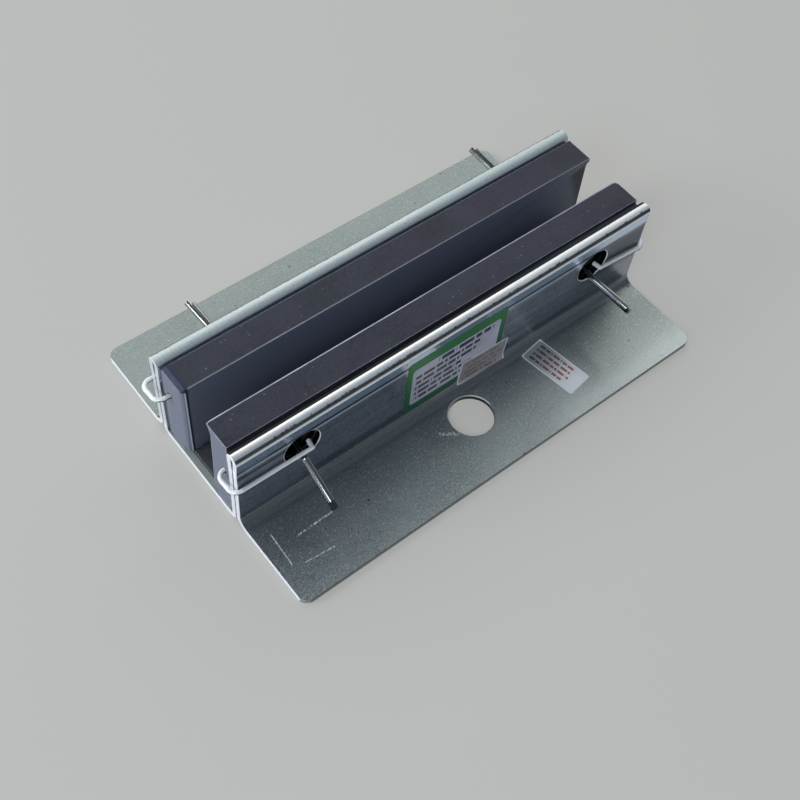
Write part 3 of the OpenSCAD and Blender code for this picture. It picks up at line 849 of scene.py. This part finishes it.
# %% Printed bars: rows of plain bars of uneven length
BAR_INPUTS = {
    "X": 0.0, "Y": 0.0, "Left": 0.0, "Top": 0.0, "Row": 2.0, "Height": 0.8, "Rows": 4.0,
    "Width": 10.0, "Bar": 3.0, "Seed": 0.0,
}
SHORTEST_ROW = 0.7
BAR_GAP = 0.13
BAR_LENGTHS = ((1.0, 11.0), (1.63, 29.0))
bars, given, result = start_group("printed bars", BAR_INPUTS, ["Mask"])
down = calc(bars, "DIVIDE", calc(bars, "SUBTRACT", given["Top"], given["Y"]), given["Row"])
row = calc(bars, "FLOOR", down)
begun = calc(bars, "GREATER_THAN", down, 0.0)
in_rows = product(bars, begun, calc(bars, "LESS_THAN", row, given["Rows"]))
ink_share = calc(bars, "DIVIDE", given["Height"], given["Row"])
inked = calc(bars, "LESS_THAN", calc(bars, "FRACT", down), ink_share)
seeded = calc(bars, "ADD", row, given["Seed"])
chance = put(bars, "TexWhiteNoise", {"W": seeded}, noise_dimensions="1D").outputs["Value"]
length = product(bars, given["Width"], spread(bars, chance, SHORTEST_ROW, 1.0))
right = calc(bars, "ADD", given["Left"], length)
begun = calc(bars, "GREATER_THAN", given["X"], given["Left"])
across = product(bars, begun, calc(bars, "LESS_THAN", given["X"], right))
for longer, slip in BAR_LENGTHS:
    part = calc(bars, "DIVIDE", given["X"], calc(bars, "MULTIPLY", given["Bar"], longer))
    part = calc(bars, "FRACT", calc(bars, "ADD", part, product(bars, chance, slip)))
    across = product(bars, across, calc(bars, "GREATER_THAN", part, BAR_GAP / longer))
bars.links.new(product(bars, in_rows, inked, across), result["Mask"])
tell("printed bars", bars)

# %% Rounded field: the inside of a rectangle with rounded corners
FIELD_INPUTS = {"X": 0.0, "Y": 0.0, "Width": 10.0, "Height": 10.0, "Corner": 1.0}
FIELD_EDGE = 0.08
field, given, result = start_group("rounded field", FIELD_INPUTS, ["Mask"])
parts = []
for axis, size in (("X", "Width"), ("Y", "Height")):
    half = calc(field, "SUBTRACT", product(field, given[size], 0.5), given["Corner"])
    beyond = calc(field, "SUBTRACT", calc(field, "ABSOLUTE", given[axis]), half)
    parts.append(calc(field, "MAXIMUM", beyond, 0.0))
off = calc(field, "SUBTRACT", apart(field, *parts), given["Corner"])
field.links.new(ramp(field, off, -FIELD_EDGE, FIELD_EDGE, 1.0, 0.0), result["Mask"])
tell("rounded field", field)


# %% Helpers for the print on a film
def on_film(tree, place, turn):
    """The film's own flat coordinates in millimetres: right and up from its middle."""
    values = {
        "Vector": put(tree, "TexCoord").outputs["Object"], "Location": Vector(place) * MM,
        "Rotation": turn, "Scale": (MM, MM, MM),
    }
    flat = put(tree, "Mapping", values, vector_type="TEXTURE").outputs[0]
    return put(tree, "SeparateXYZ", {0: flat}).outputs


def printed(tree, at, **values):
    """A block of printed bars, as a mask."""
    return use_group(tree, bars, X=at["X"], Y=at["Y"], **values)["Mask"]


# %% [markdown]
# ### The green-bordered film
# The largest film sits in the middle of the front wall: a white field in a green border, with rows
# of plain dark bars. The border could be a second plane, but it is printed on the real film, so a
# rounded field in the material parts green from white.

# %% The green-bordered film
FILM_LIFT = 0.03
FILM_GRAIN_DEPTH = 0.006
FIELD_DROP = 0.5
GREEN_PLACE, GREEN_TURN = (0.3, -19.1, 16.3), (radians(90), 0, 0)
green_film = film("label_green", 34.2, 23.4, 1.0, GREEN_PLACE, GREEN_TURN, FILM_LIFT)
finish, tree, shader = start_finish("green-bordered film")
at = on_film(tree, GREEN_PLACE, GREEN_TURN)
soil = use_group(tree, grain, Size=0.6, Seed=31.0)
lowered = calc(tree, "ADD", at["Y"], FIELD_DROP)
inside = use_group(tree, field, X=at["X"], Y=lowered, Width=30.6, Height=16.4, Corner=1.4)["Mask"]
top_row = printed(
    tree, at, Left=-6.5, Top=6.9, Row=3.0, Height=1.7, Rows=1.0, Width=27.5, Bar=6.0, Seed=4.0,
)
rows = printed(
    tree, at, Left=-14.0, Top=4.1, Row=2.5, Height=1.3, Rows=5.0, Width=23.0, Bar=4.4, Seed=2.0,
)
ink = calc(tree, "MAXIMUM", top_row, rows)
white = lay(tree, soil["Broad"], (0.66, 0.62, 0.72), (0.50, 0.49, 0.57))
white = lay(tree, product(tree, ink, 0.95), (0.02, 0.02, 0.04), white)
color = lay(tree, ramp(tree, at["Y"], -9.0, 9.0), (0.035, 0.230, 0.060), (0.022, 0.120, 0.065))
color = lay(tree, product(tree, soil["Broad"], 0.4), (0.020, 0.140, 0.055), color)
color = lay(tree, inside, white, color)
dress(tree, shader, color, soil["Fine"], roughness=(0.30, 0.42), depth=FILM_GRAIN_DEPTH)
green_film.data.materials.append(finish)
tell("green-bordered film", tree)

# %% [markdown]
# ### The small clear film
# A smaller film lies over the lower right corner of the green one. It is brownish, with a pale rim
# and faint bars. It is shrunk onto the sheet as the first one is, but lifted a little more, so
# that it clears the film under it.

# %% The small clear film
SMALL_FILM_LIFT = 0.13
SMALL_PLACE, SMALL_TURN = (11.35, -19.25, 7.15), (radians(90), radians(4), 0)
small_film = film("label_small", 17.3, 10.0, 0.5, SMALL_PLACE, SMALL_TURN, SMALL_FILM_LIFT)
finish, tree, shader = start_finish("small clear film")
at = on_film(tree, SMALL_PLACE, SMALL_TURN)
soil = use_group(tree, grain, Size=0.6, Seed=37.0)
inside = use_group(tree, field, X=at["X"], Y=at["Y"], Width=16.3, Height=9.0, Corner=0.5)["Mask"]
rows = printed(
    tree, at, Left=-7.2, Top=3.4, Row=2.1, Height=0.7, Rows=4.0, Width=14.5, Bar=5.4, Seed=5.0,
)
color = lay(tree, soil["Broad"], (0.46, 0.41, 0.41), (0.36, 0.32, 0.32))
color = lay(tree, calc(tree, "SUBTRACT", 1.0, inside), (0.80, 0.82, 0.82), color)
color = lay(tree, product(tree, rows, 0.7), (0.16, 0.08, 0.08), color)
dress(tree, shader, color, soil["Fine"], roughness=(0.28, 0.40), depth=FILM_GRAIN_DEPTH)
small_film.data.materials.append(finish)
tell("small clear film", tree)

# %% [markdown]
# ### The pale film
# The third film lies on the front flange, turned a little. Its face is pearly, so it is half
# metal, and its colour and its red bars are painted paler towards its outer end, a painted
# highlight where it catches the light.

# %% The pale film
PALE_PLACE, PALE_TURN = (30.35, -30.4, 1.68), (0, 0, radians(9 - 90))
pale_film = film("label_pale", 18.4, 8.7, 0.9, PALE_PLACE, PALE_TURN, FILM_LIFT)
finish, tree, shader = start_finish("pale film", **{"Metallic": 0.5})
at = on_film(tree, PALE_PLACE, PALE_TURN)
soil = use_group(tree, grain, Size=0.6, Seed=41.0)
inside = use_group(tree, field, X=at["X"], Y=at["Y"], Width=17.6, Height=7.9, Corner=0.8)["Mask"]
rows = printed(
    tree, at, Left=-7.4, Top=3.1, Row=1.75, Height=0.8, Rows=4.0, Width=14.0, Bar=2.6, Seed=8.0,
)
# Painted highlight: the film and its bars get paler towards the outer end.
outer = ramp(tree, at["X"], -7.0, 6.0)
print_ink = lay(tree, outer, (0.50, 0.11, 0.08), (0.13, 0.06, 0.055))
color = lay(tree, outer, (0.95, 0.97, 0.96), (0.34, 0.36, 0.36))
color = lay(tree, product(tree, soil["Broad"], 0.3), (0.62, 0.68, 0.66), color)
color = lay(tree, calc(tree, "SUBTRACT", 1.0, inside), (0.96, 0.98, 0.97), color)
color = lay(tree, product(tree, rows, 0.92), print_ink, color)
dress(tree, shader, color, soil["Fine"], roughness=(0.30, 0.40), depth=FILM_GRAIN_DEPTH)
pale_film.data.materials.append(finish)
tell("pale film", tree)
